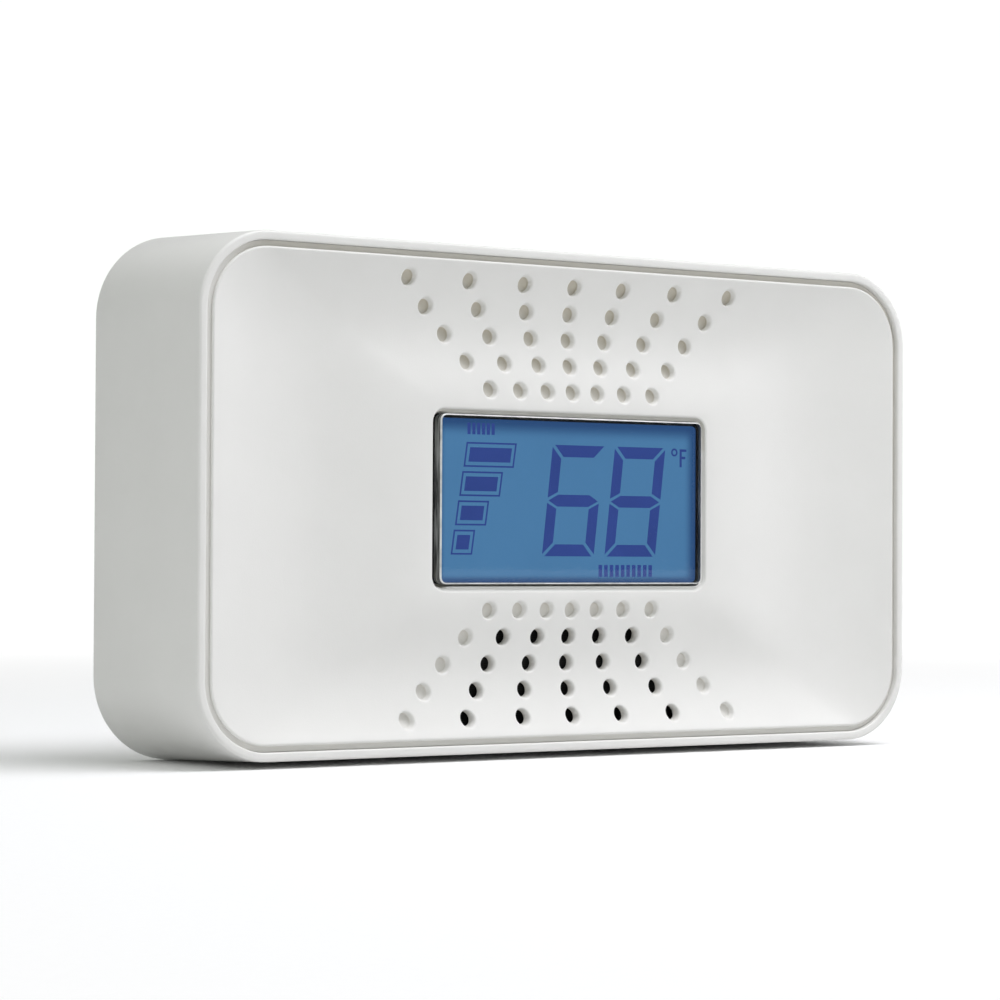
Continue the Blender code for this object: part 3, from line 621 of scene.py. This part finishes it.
def make_front_cover(material):
    """The dished panel with its fans of holes, the moat round the display and the screw posts."""
    grid = {"steps": 12, "side_x": 64, "side_z": 34}
    opening = rounded_rectangle(OPENING_X, OPENING_Z, OPENING_R, **grid)
    edge = case_outline(PANEL_INSET, **grid)
    shelf, seat_back, flange_back = FRONT + SHELF, SEAT + 0.8, FRONT + 2.3
    brow, brow_gap, moat_foot = 0.42, 0.22, 0.2
    moat_depth, moat_tilt, moat_deep_to, moat_deep_over = 0.55, 0.08, 1.1, 0.9
    lift_from, lift_over = 52, 8  # left of the middle
    tip, slope = 0.3, math.radians(22)  # the panel's rounded outer edge
    tip_y = FRONT + tip * (math.tan(slope) + 1 / math.cos(slope))

    def panel_ring(s, behind=0.0):
        return [((a[0] + (b[0] - a[0]) * s), FRONT + panel_recess(s) + behind,
                 (a[1] + WINDOW_Z) * (1 - s) + b[1] * s) for a, b in zip(opening, edge)]

    def opening_outline(outward, radius=OPENING_R):
        return rounded_rectangle(OPENING_X + outward, OPENING_Z + outward, radius + outward, **grid)

    def opening_ring(y):
        """The wall round the display, seen from inside the case."""
        return [(x, y, z + WINDOW_Z) for x, z in opening_outline(2.4, 1.0)]

    def edge_ring(inset, y):
        return [(x, y, z) for x, z in case_outline(inset, **grid)]

    def groove_ring(inset, lift=0.0):
        """A ring on the groove's floor, which is nearer to the front at the left."""
        return [(x, FRONT + GROOVE_DEPTH - GROOVE_LIFT * clamp((-x - lift_from) / lift_over) - lift,
                 z) for x, z in case_outline(inset, **grid)]

    def moat_floor(from_left, z):
        """Where the moat's floor is: shallow round the window, but deep at its left."""
        shallow = shelf + moat_depth + moat_tilt * clamp(z / 8, -1)
        deep = clamp((moat_deep_to - from_left) / moat_deep_over)
        return shallow * (1 - deep) + SEAT * deep

    rings = [groove_ring(PANEL_INSET + 0.12), groove_ring(PANEL_INSET + 0.02, 0.1)]
    rings += [edge_ring(PANEL_INSET + r, y) for r, y in arc((tip, tip_y), tip, 180, 292, 7)]
    rings += [panel_ring(1 - 0.045 * i) for i in range(1, 4)]
    rings += [panel_ring(0.865 - 0.03 * i) for i in range(1, 28)]
    for r, y in arc((brow, shelf + brow), brow, 270, 180, 6):
        rings.append([(x, min(y, moat_floor(x + OPENING_X, z + WINDOW_Z) - brow_gap), z + WINDOW_Z)
                      for x, z in opening_outline(r)])
    for r, y in arc((-0.25, -moat_foot), moat_foot, 0, 90, 3):
        rings.append([(x, moat_floor(x + OPENING_X, z) + y, z + WINDOW_Z)
                      for x, z in opening_outline(r)])
    gap, more_below, sight_gap = 0.12, 0.22, 0.15
    pocket = [(x + DISPLAY_X, z + DISPLAY_Z + LENS_RISE - (0 if z > 0 else more_below))
              for x, z in rounded_rectangle(LENS_X + gap, LENS_Z + gap, LENS_R, **grid)]
    sight = rounded_rectangle(LCD_X + sight_gap, LCD_Z + sight_gap, 0.8, **grid)
    rings += [[(x, moat_floor(x - DISPLAY_X + LENS_X, z), z) for x, z in pocket],
              [(x, SEAT + 0.01, z) for x, z in pocket]]
    rings += [[(x + DISPLAY_X, y, z + DISPLAY_Z) for x, z in sight] for y in (SEAT, seat_back)]
    rings += [opening_ring(y) for y in (seat_back, shelf + WALL)]
    rings += [panel_ring(s, WALL) for s in (0.16, 0.25, 0.35, 0.45, 0.55, 0.65, 0.75, 0.84)]
    flange_inset, flange_edge = 3.9, RIM + 0.06
    rings += [edge_ring(flange_inset, flange_back), edge_ring(flange_edge, flange_back),
              groove_ring(flange_edge)]
    cover = piece("front_cover_shell", loft(rings), material, "case", "front_cover")
    posts, pilots = [], []
    for screws, back, post, pilot, length in ((COVER_SCREWS, PLATE_FRONT, 3.25, 1.6, 9),
                                              (BOARD_SCREWS, BOARD_FRONT, 2.6, 1.3, 4.2)):
        posts += [(x, z, post, panel_y(x, z) + 1, back - 0.3) for x, z in screws]
        pilots += [(x, z, pilot, back - length, back + 1) for x, z in screws]
    boolean(cover, rods("screw_posts", posts), "UNION")
    boolean(cover, rods("screw_pilots", pilots))
    boolean(cover, hole_cutters())
    sharpen(cover, 32)
    holes = hole_places()
    window_bottom, window_top, hole_from, hole_over = 3 - LENS_Z, 8, 0.82, 0.18

    def depth(x, y, z):
        """Painted shade: faint in the groove and above the window, strong below it and in the upper
        holes, and in a hole stronger towards its upper right.
        """
        if inset_of(x, z) < PANEL_INSET + 0.25:
            return min((y - FRONT - 0.5) / 0.7, 0.35 + 0.15 * clamp(z / 25, -1))
        if abs(x) < OPENING_X + 0.05 and abs(z - WINDOW_Z) < OPENING_Z + 0.05:
            if z < window_bottom:
                return (y - shelf - 0.5) / 0.5
            return min((y - shelf - 0.1) / 0.5, 0.35) if z > window_top else 0
        a, b, _ = min(holes, key=lambda hole: math.hypot(x - hole[0], z - hole[1]))
        if math.hypot(x - a, z - b) > HOLE_MOUTH + 0.05:
            return 0
        height = z / HOLE_ROWS[-1]
        strength = 0.2 + 0.8 * height if z > 0 else 0.6 + 0.4 * height
        shade = 0.95 + (0.3 * (x - a) + 0.4 * (z - b)) / HOLE_RADIUS
        return clamp((y - panel_y(x, z) - hole_from) / hole_over) * strength * shade

    mark_crevice_shade(cover, depth)


# ================================================================ small solids
def rods(name, places, sides=40):
    """Separate cylinders along Y as one tool: x, z, radius, start and end of each."""
    mesh = bmesh.new()
    turn = Matrix.Rotation(math.pi / 2, 4, "X")
    for x, z, radius, start, end in places:
        middle = Matrix.Translation(point(x, (start + end) / 2, z))
        bmesh.ops.create_cone(mesh, cap_ends=True, segments=sides, radius1=radius * MM,
                              radius2=radius * MM, depth=(end - start) * MM, matrix=middle @ turn)
    return tool(name, mesh)


def slab(outline, start, end, edge_front=0.0, edge_back=0.0, steps=4):
    """A flat outline pushed along Y, its edges rounded inwards; outline(inset) gives a ring."""
    profile = [(edge_front, start)]
    if edge_front:
        profile = arc((edge_front, start + edge_front), edge_front, 270, 180, steps)
    if edge_back:
        profile += arc((edge_back, end - edge_back), edge_back, 180, 90, steps)
    else:
        profile.append((0, end))
    return capped([[(x, y, z) for x, z in outline(inset)] for inset, y in profile])


def turned(profile, x, y, z, steps=48):
    """A profile of radius and distance along Y, turned round an axis through x and z."""
    mesh = bmesh.new()
    loops = []
    for radius, along in profile:
        spots = circle(x, z, radius, steps)[:steps if radius > 0.001 else 1]
        loops.append([mesh.verts.new(point(a, y + along, b)) for a, b in spots])
    for near, far in zip(loops, loops[1:]):
        for i in range(steps):
            j = (i + 1) % steps
            corners = dict.fromkeys((near[i % len(near)], near[j % len(near)],
                                     far[j % len(far)], far[i % len(far)]))
            if len(corners) > 2:
                mesh.faces.new(list(corners))
    return mesh


def block(name, low, high):
    """A plain box as a tool."""
    mesh = bmesh.new()
    size = [(b - a) * MM for a, b in zip(low, high)]
    centre = point(*[(a + b) / 2 for a, b in zip(low, high)])
    bmesh.ops.create_cube(mesh, size=1.0,
                          matrix=Matrix.Translation(centre) @ Matrix.Diagonal((*size, 1)))
    return tool(name, mesh)


def soften(obj, width):
    """Rounds the sharp edges of a piece or a CAD node."""
    bevel = obj.modifiers.new("edges", "BEVEL")
    bevel.width, bevel.segments = width * MM, 2
    bevel.limit_method = "ANGLE"
    bevel.angle_limit = math.radians(40)
    bevel.harden_normals = True
    bevel.use_clamp_overlap = True


def make_rear_cover(material):
    """The back plate: keyholes, vents, counterbored screw holes and the slider's slot."""
    plate = slab(lambda inset: case_outline(1.3 + inset, steps=20), PLATE_FRONT, PLATE_BACK,
                 edge_back=0.25)
    cover = piece("rear_cover_plate", plate, material, "case", "rear_cover")
    start, end = BACK - 4.5, BACK + 1.5  # from before the plate to behind it
    entry, neck, neck_up = 4.2, 2.3, 4.5  # a keyhole's radii, and its neck's height

    def cut(name, x, z, half_x, half_z, radius, steps):
        """An opening with rounded corners, from its middle and its half sizes."""
        outline = [(a + x, b + z) for a, b in rounded_rectangle(half_x, half_z, radius, steps)]
        boolean(cover, tool(name, slab(lambda inset: outline, start, end)))

    for x in (-KEYHOLE_X, KEYHOLE_X):
        boolean(cover, rods("entry", [(x, KEYHOLE_Z, entry, start, end)], 48))
        cut("neck", x, KEYHOLE_Z + neck_up, neck, 5.0, neck - 0.001, 12)
    for name, radius, front in (("screw_holes", 1.6, start),
                                ("counterbores", 3.2, PLATE_BACK - 1.2)):
        boolean(cover, rods(name, [(x, z, radius, front, end) for x, z in COVER_SCREWS]))
    vents, vent_pitch = 6, 3.2
    for i in range(vents):
        cut("vent", SENSOR_X + vent_pitch * (i - (vents - 1) / 2), SENSOR_Z, 0.8, 6.0, 0.799, 8)
    middle = SLIDER_X + SLIDER_TRAVEL / 2
    cut("slot", middle, SLIDER_Z, 3.7, 1.8, 0.4, 6)
    for z in (SLIDER_Z - 3.9, SLIDER_Z + 3.9):
        guide = block("guide", (middle - 8, 9.4, z - 0.6), (middle + 8, PLATE_FRONT + 0.5, z + 0.6))
        boolean(cover, guide, "UNION")
    sharpen(cover, 35)
    soften(cover, 0.18)


# ================================================================ display
def window_outline(half_x, half_z, radius, steps=10, rise=0.0):
    return lambda inset: [(x + DISPLAY_X, z + DISPLAY_Z + rise) for x, z in
                          rounded_rectangle(half_x - inset, half_z - inset,
                                            max(radius - inset, 0.05), steps)]


def make_window(material, edge_material, bevel_material):
    """The clear window: front bevels with a painted highlight, and sides painted black with painted
    reflections.
    """
    outline = window_outline(LENS_X, LENS_Z, LENS_R, rise=LENS_RISE)
    profile = [(0.24, LENS_FRONT), (0.19, LENS_FRONT + 0.02), (0.03, LENS_FRONT + 0.18),
               (0, LENS_FRONT + 0.23), (0, LENS_BACK - 0.1), (0.1, LENS_BACK)]
    rings = [[(x, y, z) for x, z in outline(inset)] for inset, y in profile]
    lens = piece("window_lens", capped(rings), material, "case", "display_window",
                 20)
    lens.data.materials.append(edge_material)
    lens.data.materials.append(bevel_material)
    for face in lens.data.polygons:
        facing, place_y = abs(face.normal.y), face.center.y / MM
        if facing < 0.5 and place_y < LENS_BACK - 0.1:
            face.material_index = 1
        elif 0.5 < facing < 0.9 and place_y < LENS_FRONT + 0.3:
            face.material_index = 2


def make_gasket(material):
    """The black ring between the window and its seat."""
    outer = window_outline(LENS_X, LENS_Z, LENS_R, rise=LENS_RISE)
    inner = window_outline(LCD_X + 0.05, LCD_Z + 0.05, LCD_R)
    front, back = LENS_BACK + 0.13, SEAT - 0.13
    edge, rounding = 0.04, 0.06
    profile = [(outer, edge, front), (outer, 0, front + rounding), (outer, 0, back - rounding),
               (outer, edge, back), (inner, -edge, back), (inner, 0, back - rounding),
               (inner, 0, front + rounding), (inner, -edge, front)]
    rings = [[(x, y, z) for x, z in outline(inset)] for outline, inset, y in profile]
    piece("window_gasket_ring", loft(rings), material, "case", "window_gasket")


def make_display(material):
    """The display itself: a glass sandwich with ground edges."""
    mesh = slab(window_outline(LCD_X, LCD_Z, LCD_R, 4), LCD_FRONT, LCD_BACK, 0.12, 0.12, 2)
    piece("display_panel", mesh, material, "case", "lcd_glass")


def flat_marks(name, outlines, material):
    """Thin raised marks in front of the display: each outline is a list of x and z."""
    mesh = bmesh.new()
    for outline in outlines:
        front, back = ([mesh.verts.new(point(x + MARKS_X, LCD_FRONT - raised, z))
                        for x, z in outline] for raised in (0.09, 0.05))
        mesh.faces.new(front)
        mesh.faces.new(back[::-1])
        bridge(mesh, front, back)
    piece(name, mesh, material, "case", sharp=20)


def slanted(points, slant, level=0.0):
    return [(x + slant * (z - level), z) for x, z in points]


def oblong(left, low, right, high):
    return [(left, low), (right, low), (right, high), (left, high)]


def seven_segments(left, right, bottom, top, lit):
    """The lit segments of a slanted digit, mitred where they meet: a is the top, g the middle."""
    stroke, mitre, middle = 1.74, 0.42, (bottom + top) / 2
    corner, joint = mitre - 0.1, mitre + stroke - 0.14  # an upright's outer and inner end

    def upper(x, inward):
        return [(x, top - corner), (x + inward, top - joint), (x + inward, middle + 1.25),
                (x, middle + 0.42)]

    def lower(x, inward):
        return [(x, bottom + corner), (x + inward, bottom + joint), (x + inward, middle - 1.2),
                (x, middle - 0.36)]

    def across(z, inward, neighbour):
        end = right - (mitre if neighbour in lit else 0)
        return [(left + mitre, z), (end, z), (end - stroke, z + inward),
                (left + mitre + stroke, z + inward)]

    near, far, half = left + stroke + 0.15, right - stroke - 0.15, stroke / 2
    shapes = {
        "a": across(top, -stroke, "b"), "d": across(bottom, stroke, "c"),
        "f": upper(left, stroke), "b": upper(right, -stroke),
        "e": lower(left, stroke), "c": lower(right, -stroke),
        "g": [(left + 0.2, middle), (near, middle + half), (far, middle + half),
              (right - 0.2, middle), (far, middle - half), (near, middle - half)],
    }
    return [slanted(shapes[name], 0.118) for name in lit]


def bar_shapes():
    """Four level marks that grow upwards: a filled middle inside a thin frame."""
    shapes = []
    height, line, gap, pitch = 3.56, 0.25, 0.74, 4.18
    for i in range(4):
        level = 6.46 - pitch * i
        left, right = -18.49 - 0.72 * i, -9.65 - 2.43 * i
        low, high = level - height / 2, level + height / 2
        for sides in ((left, high - line, right, high), (left, low, right, low + line),
                      (left, low, left + line, high), (right - line, low, right, high),
                      (left + gap, low + gap, right - gap, high - gap)):
            shapes.append(slanted(oblong(*sides), 0.15, level))
    return shapes


def tally(left, right, low, high, count, fill=0.62):
    """A row of plain upright strokes."""
    pitch = (right - left) / count
    return [oblong(left + pitch * i, low, left + pitch * i + pitch * fill, high)
            for i in range(count)]


def unit_shapes():
    """The degree ring and the F beside the digits."""
    sides = 20
    outer, inner = (circle(19.8, 7.6, radius, sides) for radius in (0.6, 0.34))
    shapes = [[outer[i - 1], outer[i], inner[i], inner[i - 1]] for i in range(sides)]
    left, low, high, arm, stroke = 20.83, 5.4, 8.1, 6.62, 0.38
    stem = left + stroke
    return shapes + [oblong(left, low, stem, high), oblong(stem, high - stroke, 22.1, high),
                     oblong(stem, arm, 21.9, arm + stroke)]


def make_marks(material):
    low, high = -8.02, 8.2
    digits = seven_segments(-3.83, 5.6, low, high, "afgecd")
    digits += seven_segments(7.62, 17.1, low, high, "abcdefg")
    for name, outlines in (("digits", digits), ("bars", bar_shapes()), ("unit", unit_shapes()),
                           ("tally_upper", tally(-18.1, -13.0, 9.35, 11.0, 6)),
                           ("tally_lower", tally(5.6, 16.0, -11.0, -9.25, 10))):
        flat_marks("display_" + name, outlines, material)


# ================================================================ button and screws
def make_test_button(material):
    """A pill-shaped cap with a soft top edge and a shallow dish, a flange below and a stem."""
    flange, chamfer, fillet = 1.5, 0.15, 0.5
    flange_top = HALF_HEIGHT - 2.3
    flange_low = flange_top - 1.2
    stem_x, stem_y, stem_low = 1.6, 1.2, 30.55
    rings = [pill(stem_x, stem_y, z, 0.3, 8) for z in (stem_low, flange_low)]
    steps = [(flange - chamfer, flange_low), (flange, flange_low + chamfer),
             (flange, flange_top - chamfer), (flange - chamfer, flange_top), (0, flange_top)]
    steps += [(a - fillet, b) for a, b in arc((0, BUTTON_TOP - fillet), fillet, 0, 90, 6)]
    steps += [(-inset, BUTTON_TOP - drop)
              for inset, drop in ((0.9, 0.04), (1.4, 0.14), (2.0, 0.22), (2.7, 0.25))]
    rings += [pill(BUTTON_X + wider, BUTTON_R + wider, z, side_x=8) for wider, z in steps]
    piece("test_button_cap", capped(rings), material, "test_button", "test_button")


def make_screw(name, x, z, head, shank, start, length, material):
    """A pan head with a cross recess, a threaded shank and a point."""
    radius, height = head
    flat, root, pitch = radius * 0.45, shank * 0.78, 0.8
    profile = [(0, height), (flat, height)]
    profile += [(flat + radius * 0.55 * math.sin(math.radians(a)),
                 height * (0.35 + 0.65 * math.cos(math.radians(a)))) for a in (25, 45, 65, 80, 90)]
    profile += [(radius, 0.08), (radius - 0.08, 0), (shank, 0)]
    for i in range(int((length - 1.2) / pitch)):
        top = -0.4 - pitch * i
        profile += [(root, top), (root, top - pitch * 0.35), (shank, top - pitch * 0.6),
                    (root, top - pitch * 0.85)]
    profile += [(shank * 0.7, 0.9 - length), (0.15, 0.05 - length), (0, -length)]
    screw = piece(name + "_steel", turned(profile, x, start, z), material, "case",
                  name)
    arm, slit, recess = radius * 0.62, 0.32, min(0.55, height * 0.6)
    top = start + height
    for half_x, half_z in ((arm, slit), (slit, arm)):
        boolean(screw, block("recess", (x - half_x, top - recess, z - half_z),
                             (x + half_x, top + 1, z + half_z)))
    sharpen(screw, 35)

    def depth(a, y, b):
        """Painted shade: only the cross recess is darkened."""
        inside = max(abs(a - x), abs(b - z)) < arm + 0.01 and y > top - recess - 0.05
        return (top - y - 0.05) / 0.3 if inside else 0

    mark_crevice_shade(screw, depth)


# ================================================================ the object
PLASTIC = (0.83, 0.826, 0.804)
# Painted shade: the next colour is painted into the hollows of the case, the panel and their holes.
CREVICE_SHADE = (0.58, 0.54, 0.45)
case_white = moulded_plastic("case_white", PLASTIC, 0.42, crevice_shade=CREVICE_SHADE)
panel_white = moulded_plastic("panel_white", PLASTIC, 0.40, crevice_shade=CREVICE_SHADE)
button_white = moulded_plastic("button_white", (0.80, 0.79, 0.77), 0.36)
back_white = moulded_plastic("back_white", PLASTIC, 0.46, grain=0.00002)
inner_white = moulded_plastic("inner_white", (0.70, 0.70, 0.68), 0.5)
black_plastic = moulded_plastic("black_plastic", (0.022, 0.022, 0.023), 0.42, mottle=0.15)
black_rubber = moulded_plastic("black_rubber", (0.012, 0.012, 0.012), 0.7, mottle=0.2)
led_body = moulded_plastic("led_body", (0.86, 0.83, 0.62), 0.35, mottle=0.05)
light_guide = moulded_plastic("light_guide", (0.80, 0.87, 0.95), 0.25, mottle=0.05)
steel_can = metal("steel_can", (0.66, 0.66, 0.65), 0.28, (1, 1, 12))
# Painted shade: the screws' cross recesses are painted near black.
screw_steel = metal("screw_steel", (0.66, 0.66, 0.67), 0.3, scale=900, crevice_shade=(0.05, 0.05, 0.05))
nickel = metal("nickel", (0.74, 0.72, 0.67), 0.25, (12, 1, 1))
brass = metal("brass", (0.80, 0.60, 0.28), 0.24, (1, 1, 10))

make_housing(case_white)
make_front_cover(panel_white)
make_rear_cover(back_white)
make_window(clear_plastic("window_clear"), painted_edge("window_edge"),
            pale_bevel_highlight("window_bevel_highlight"))
make_gasket(black_rubber)
make_display(lit_display("display_blue", (0.0715, 0.206, 0.398), (0.022, 0.07, 0.195)))
make_marks(mark_ink("display_ink", (0.0315, 0.0627, 0.2615)))
make_test_button(button_white)
for kind, places, head, shank, start, length in (
        ("cover", COVER_SCREWS, (2.7, 0.85), 1.3, PLATE_BACK - 0.95, 8.4),
        ("board", BOARD_SCREWS, (2.2, 1.2), 1.0, BOARD_BACK + 0.3, 5.4)):
    for number, (screw_x, screw_z) in enumerate(places, 1):
        make_screw(f"{kind}_screw_{number}", screw_x, screw_z, head, shank, start, length,
                   screw_steel)

finishes = (  # material, and the width of each node's soft edges
    (light_guide, {"backlight_panel": 0.15}),
    (led_body, {"backlight_led_left": 0.1, "backlight_led_right": 0.1, "thermistor": 0.05}),
    (black_rubber, {"lcd_connector_upper": 0.1, "lcd_connector_lower": 0.1}),
    (inner_white, {"lcd_holder": 0.2, "battery_tray": 0.25, "test_switch_plunger": 0.15,
                   "activation_switch_stem": 0.1}),
    (black_plastic, {"horn_housing": 0.25, "horn_ring": 0.15, "co_sensor_cap": 0.15,
                     "controller_chip": 0.05, "test_switch_body": 0.15,
                     "activation_slider": 0.2}),
    (brass, {"horn_disc": 0.04}),
    (nickel, {"battery_tab_upper": 0.05, "battery_tab_lower": 0.05}),
    (steel_can, {"co_sensor_body": 0.1, "activation_switch_body": 0.15}),
    (board_laminate("board_green"), {"circuit_board": 0.08}),
    (woven_screen("screen_cloth"), {"dust_screen": 0}),
    (wound_wire("copper_wire"), {"horn_inductor": 0.1}),
    (shrink_sleeve("cell_wrap"), {"battery_cell": 0.2}),
    (shrink_sleeve("capacitor_sleeve"), {"capacitor": 0.1}),
    (printed_label("label_film"), {"rating_label": 0.05}),
)
for material, edges in finishes:
    for node, edge in edges.items():
        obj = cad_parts[node]
        obj.data.materials.clear()
        obj.data.materials.append(material)
        obj.data.shade_smooth()
        sharpen(obj, 35)
        if edge:
            soften(obj, edge)


# ================================================================ floor, light and camera
def floor_plane(name, grey, height, glow):
    """A wide pale table top with a faint paper grain, which fades into a glow far away."""
    mesh = bmesh.new()
    bmesh.ops.create_grid(mesh, x_segments=1, y_segments=1, size=6.0)
    plane = object_from(name, mesh)
    plane.location.z = height
    color = (grey, grey, grey)
    material, tree, shader = shader_material(name, color, 0.9, Specular_IOR_Level=0.2)
    grain = spread(noise(tree, 900, 3), 0, 1)
    feed(shader, Base_Color=blend_colors(grain, *shades(color, 0.985, 1)))
    if glow:
        distance = add_node(tree, "VectorMath", [("operation", "LENGTH")])
        fill(distance.inputs[0], own_place(tree))
        far = add_node(tree, "Emission", Strength=glow)
        fade = add_node(tree, "MixShader")
        for socket, value in zip(fade.inputs, (spread(distance.outputs["Value"], 0, 1, 0.1, 0.5),
                                               shader.outputs[0], far.outputs[0])):
            fill(socket, value)
        fill(tree.nodes["Material Output"].inputs["Surface"], fade.outputs[0])
    plane.data.materials.append(material)
    return plane


def studio_light(base, slopes, seen_strength, gloss, tint):
    """A soft wrap of light that depends on direction, and is dim in reflections."""
    world = bpy.data.worlds.new("studio")
    bpy.context.scene.world = world
    world.use_nodes = True
    tree = world.node_tree
    seen_from = add_node(tree, "TexCoord").outputs["Generated"]
    axes = add_node(tree, "SeparateXYZ", Vector=seen_from).outputs
    strength = base
    for axis_names, weight in slopes.items():
        term = weight
        for axis in axis_names:
            term = calc("MULTIPLY", axes[axis], term)
        strength = calc("ADD", strength, term)
    path = add_node(tree, "LightPath").outputs
    dimmed = calc("MULTIPLY_ADD", path["Is Glossy Ray"], gloss - 1.0, 1.0)
    strength = calc("MULTIPLY", calc("MAXIMUM", strength, 0.0), dimmed)
    seen = add_node(tree, "Mix", [("data_type", "FLOAT")], Factor=path["Is Camera Ray"])
    fill(seen.inputs[2], strength)
    fill(seen.inputs[3], seen_strength)
    feed(tree.nodes["Background"], Strength=seen.outputs[0], Color=tint)


def softbox(name, place_mm, power, tint):
    """A square area light that is aimed at the middle of the case."""
    data = bpy.data.lights.new(name, "AREA")
    data.shape, data.size, data.energy, data.color = "SQUARE", 0.45, power, tint
    lamp = link(bpy.data.objects.new(name, data))
    lamp.location = point(*place_mm)
    lamp.rotation_mode = "QUATERNION"
    lamp.rotation_quaternion = (point(0, 0, 0) - lamp.location).to_track_quat("-Z", "Y")


floor = floor_plane("floor", 0.98, 0.0, 1.02)  # seen, but lights nothing
floor.visible_diffuse = floor.visible_glossy = floor.visible_transmission = False
floor.visible_shadow = False
bounce = floor_plane("floor_bounce", 0.75, -0.0004, 0)  # unseen, but lights the case
bounce.visible_camera = False

WORLD_TINT, KEY_TINT = (0.971, 1.0, 0.969), (0.965, 0.957, 1.0)
SLOPES = {"X": -0.26, "Y": 0.027, "Z": 0.105, "ZZ": -0.048}
studio_light(0.446, SLOPES, 1.05, 0.25, WORLD_TINT)
softbox("key_light", (150, -250, 650), 3.71, KEY_TINT)
softbox("right_light", (600, -200, 200), 1.16, KEY_TINT)

AZIMUTH, ELEVATION, ROLL = (math.radians(angle) for angle in (-35.885, -1.0217, 0.28588))
AIM, DISTANCE = point(-14.246, FRONT, -0.028), 0.4591
back = Vector((math.sin(AZIMUTH) * math.cos(ELEVATION), -math.cos(AZIMUTH) * math.cos(ELEVATION),
               math.sin(ELEVATION)))
right = Vector((math.cos(AZIMUTH), math.sin(AZIMUTH), 0))
up = back.cross(right)
rolled_right = right * math.cos(ROLL) + up * math.sin(ROLL)
rolled_up = up * math.cos(ROLL) - right * math.sin(ROLL)
camera_data = bpy.data.cameras.new("camera")
camera_data.lens, camera_data.sensor_width = 115.77, 36.0
camera_data.clip_start, camera_data.clip_end = 0.01, 100.0
camera = link(bpy.data.objects.new("camera", camera_data))
camera.matrix_world = (Matrix.Translation(AIM + back * DISTANCE)
                       @ Matrix((rolled_right, rolled_up, back)).transposed().to_4x4())
bpy.context.scene.camera = camera
bpy.context.scene.view_settings.view_transform = "Standard"
